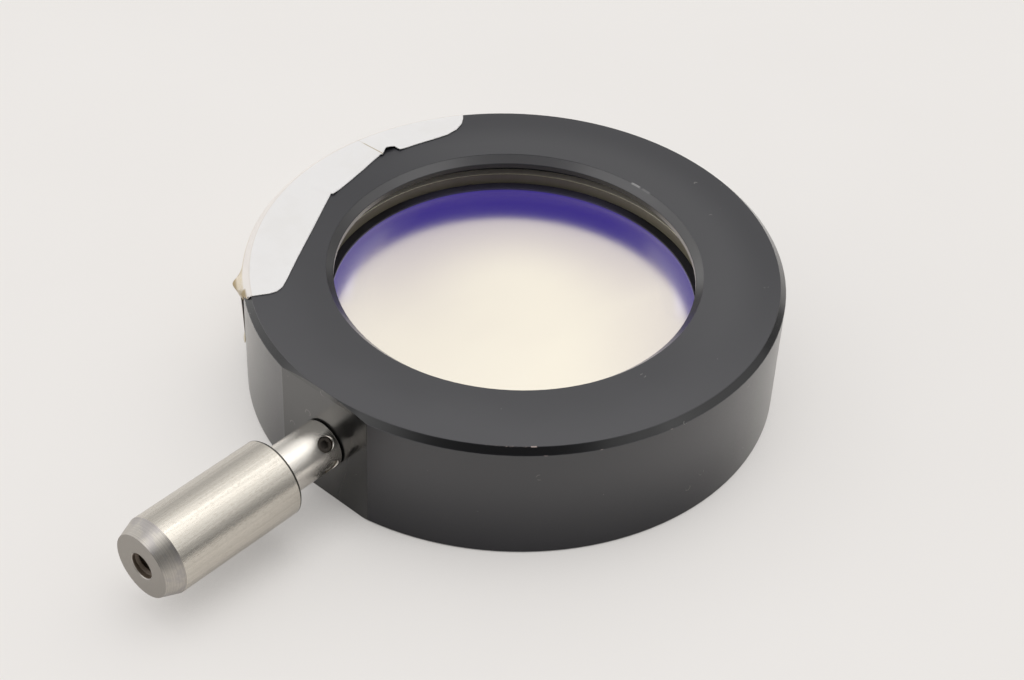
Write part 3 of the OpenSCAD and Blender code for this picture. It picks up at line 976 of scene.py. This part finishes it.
def thread_points(major, pitch, height, start, end, steps_per_turn=64):
    """A triangle of the given height, pointing inwards, carried along a helix.

    Its root is one pitch wide, so neighbouring turns meet. The ridge fades to nothing over the first
    half turn, as a countersink leaves it.
    """
    turns = (end - start) / pitch
    bearing = np.linspace(0, 2 * math.pi * turns, int(turns * steps_per_turn))[:, None]
    across = np.array([-0.5, -0.06, 0.06, 0.5])[None, :]
    depth = np.array([0, 1, 1, 0])[None, :] * height
    fade = np.clip(bearing / math.pi, 0, 1)
    radius = major - depth * fade
    along = start + pitch * bearing / (2 * math.pi) + across * pitch
    return np.stack((radius * np.cos(bearing), along, radius * np.sin(bearing)), axis=-1)


nose_ridge = thread_points(STUD_R - 0.004, THREAD_PITCH, THREAD_HEIGHT, THREAD_START, THREAD_END)
nose_ridge[..., 1] += NOSE_Y
nose_ridge[..., 2] += POST_Z
nose_thread = grid_mesh("nose_thread_ridge", nose_ridge * MM, turned_steel)
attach(nose_thread, "root")
print("thread ridge", len(nose_thread.data.polygons), "faces")

# %% [markdown]
# ## Floor, backdrop and light
# The mount stands on a pale matt board, which is stage and no part of it. A real board is evenly pale
# and darkens softly where the object keeps the sky away. Half of what the camera sees is therefore its
# own paleness, dimmed by ambient occlusion, and the other half is lit like everything else.

# %% Floor
def floor_finish(name):
    """Pale matt board with a faint mottle; mirrors see less of its own paleness than the camera."""
    material, tree, shader = new_finish(name)
    mottle = noise(tree, in_millimetres(tree)[0], 0.02, 3, 0.5)
    pale = blend_colour(tree, mottle, (0.832, 0.806, 0.782), (0.858, 0.834, 0.812))
    plug(tree, pale, shader.inputs["Base Color"])
    shader.inputs["Roughness"].default_value = 0.6
    shader.inputs["Specular IOR Level"].default_value = 0.2
    open_sky = add(tree, "ShaderNodeAmbientOcclusion", {"samples": 12}, Distance=0.05).outputs["AO"]
    shadow = rise(tree, open_sky, 0.28, 0.53, 0.45, 1.0)
    even = add(tree, "ShaderNodeEmission", Color=pale, Strength=shadow)
    path = add(tree, "ShaderNodeLightPath").outputs
    seen = product(tree, path["Is Camera Ray"], 0.50)
    mirrored = product(tree, largest(tree, path["Is Glossy Ray"], path["Is Transmission Ray"]), 0.15)
    both = add(tree, "ShaderNodeMixShader", Fac=largest(tree, seen, mirrored))
    tree.links.new(shader.outputs[0], both.inputs[1])
    tree.links.new(even.outputs[0], both.inputs[2])
    tree.links.new(both.outputs[0], tree.nodes["Material Output"].inputs["Surface"])
    return material


def floor_points(half=3.0, steps=9):
    """A flat square grid just under Z = 0."""
    side = np.linspace(-half, half, steps)
    x, y = np.meshgrid(side, side, indexing="ij")
    return np.stack((x, y, np.full_like(x, -0.00002)), axis=-1)


floor = grid_mesh("floor", floor_points(), floor_finish("pale_board"))
print("floor", floor.dimensions[:])

# %% [markdown]
# A product is lit in a white tent: light comes from nearly everywhere, so shadows are faint and soft.
# The sky is such a tent, with a few soft lamps that give curved metal something to reflect. It is
# darker low down on the room's side, and nearly black in the opening where the camera stands, so
# polished edges that face the opening turn black. The camera itself sees plain paper behind the mount.

# %% Patches of light
def patch(tree, direction, centre, inner, outer, at_centre, outside):
    """Value that goes smoothly from at_centre, inside inner degrees of a direction, to outside."""
    facing = add(tree, "ShaderNodeVectorMath", {"operation": "DOT_PRODUCT"}, Vector=direction)
    facing.inputs[1].default_value = centre
    low, high = math.cos(math.radians(outer)), math.cos(math.radians(inner))
    return rise(tree, facing.outputs["Value"], low, high, outside, at_centre)


print("light helpers ready")

# %% Sky
# Each lamp: azimuth, elevation, angle it fills, angle where it has faded out, strength.
lamps = {
    "overhead": (-30, 88, 12, 34, 1.60),
    "window on the left": (205, 12, 25, 60, 0.55),
    "strip behind": (66, 50, 3, 12, 0.50),
    "panel behind": (90, 53, 12, 42, 0.36),
    "panel behind left": (110, 55, 15, 50, 0.31),
    "low panel behind right": (45, 33, 8, 30, 0.22),
    "panel on the right": (10, 50, 8, 30, 0.45),
    "fill in front": (-90, 62, 8, 25, 0.35),
    "low fill in front": (-115, 40, 10, 35, 0.20),
}
world = bpy.data.worlds.new("tent")
bpy.context.scene.world = world
world.use_nodes = True
sky = world.node_tree
sky.nodes.clear()
direction = add(sky, "ShaderNodeTexCoord").outputs["Generated"]
height = add(sky, "ShaderNodeSeparateXYZ", Vector=direction).outputs[2]
dome = rise(sky, height, 0.0, 0.45, 0.67, 0.46)
for azimuth, elevation, inner, outer, strength in lamps.values():
    glow = patch(sky, direction, toward(azimuth, elevation), inner, outer, strength, 0.0)
    dome = calc(sky, "ADD", dome, glow)
around = add(sky, "ShaderNodeVectorMath", {"operation": "MULTIPLY"}, Vector=direction)
around.inputs[1].default_value = (1, 1, 0)
level = add(sky, "ShaderNodeVectorMath", {"operation": "NORMALIZE"}, Vector=around.outputs[0]).outputs[0]
room_side = patch(sky, level, toward(40, 0), 35, 75, 1.0, 0.0)
low_down = rise(sky, height, 0.10, 0.50, 1.0, 0.0)
lit = calc(sky, "SUBTRACT", 1.0, product(sky, room_side, low_down, 0.55))
dome = product(sky, dome, lit, patch(sky, direction, toward_camera, 20, 42, 0.04, 1.0))
tent_light = add(sky, "ShaderNodeBackground", Color=(1.0, 0.995, 0.985), Strength=dome)
seen_paper = add(sky, "ShaderNodeBackground", Color=(0.87, 0.845, 0.825), Strength=1.0)
path = add(sky, "ShaderNodeLightPath")
mixed = add(sky, "ShaderNodeMixShader", Fac=path.outputs["Is Camera Ray"])
sky.links.new(tent_light.outputs[0], mixed.inputs[1])
sky.links.new(seen_paper.outputs[0], mixed.inputs[2])
add(sky, "ShaderNodeOutputWorld", Surface=mixed.outputs[0])
print("sky", len(sky.nodes), "nodes")
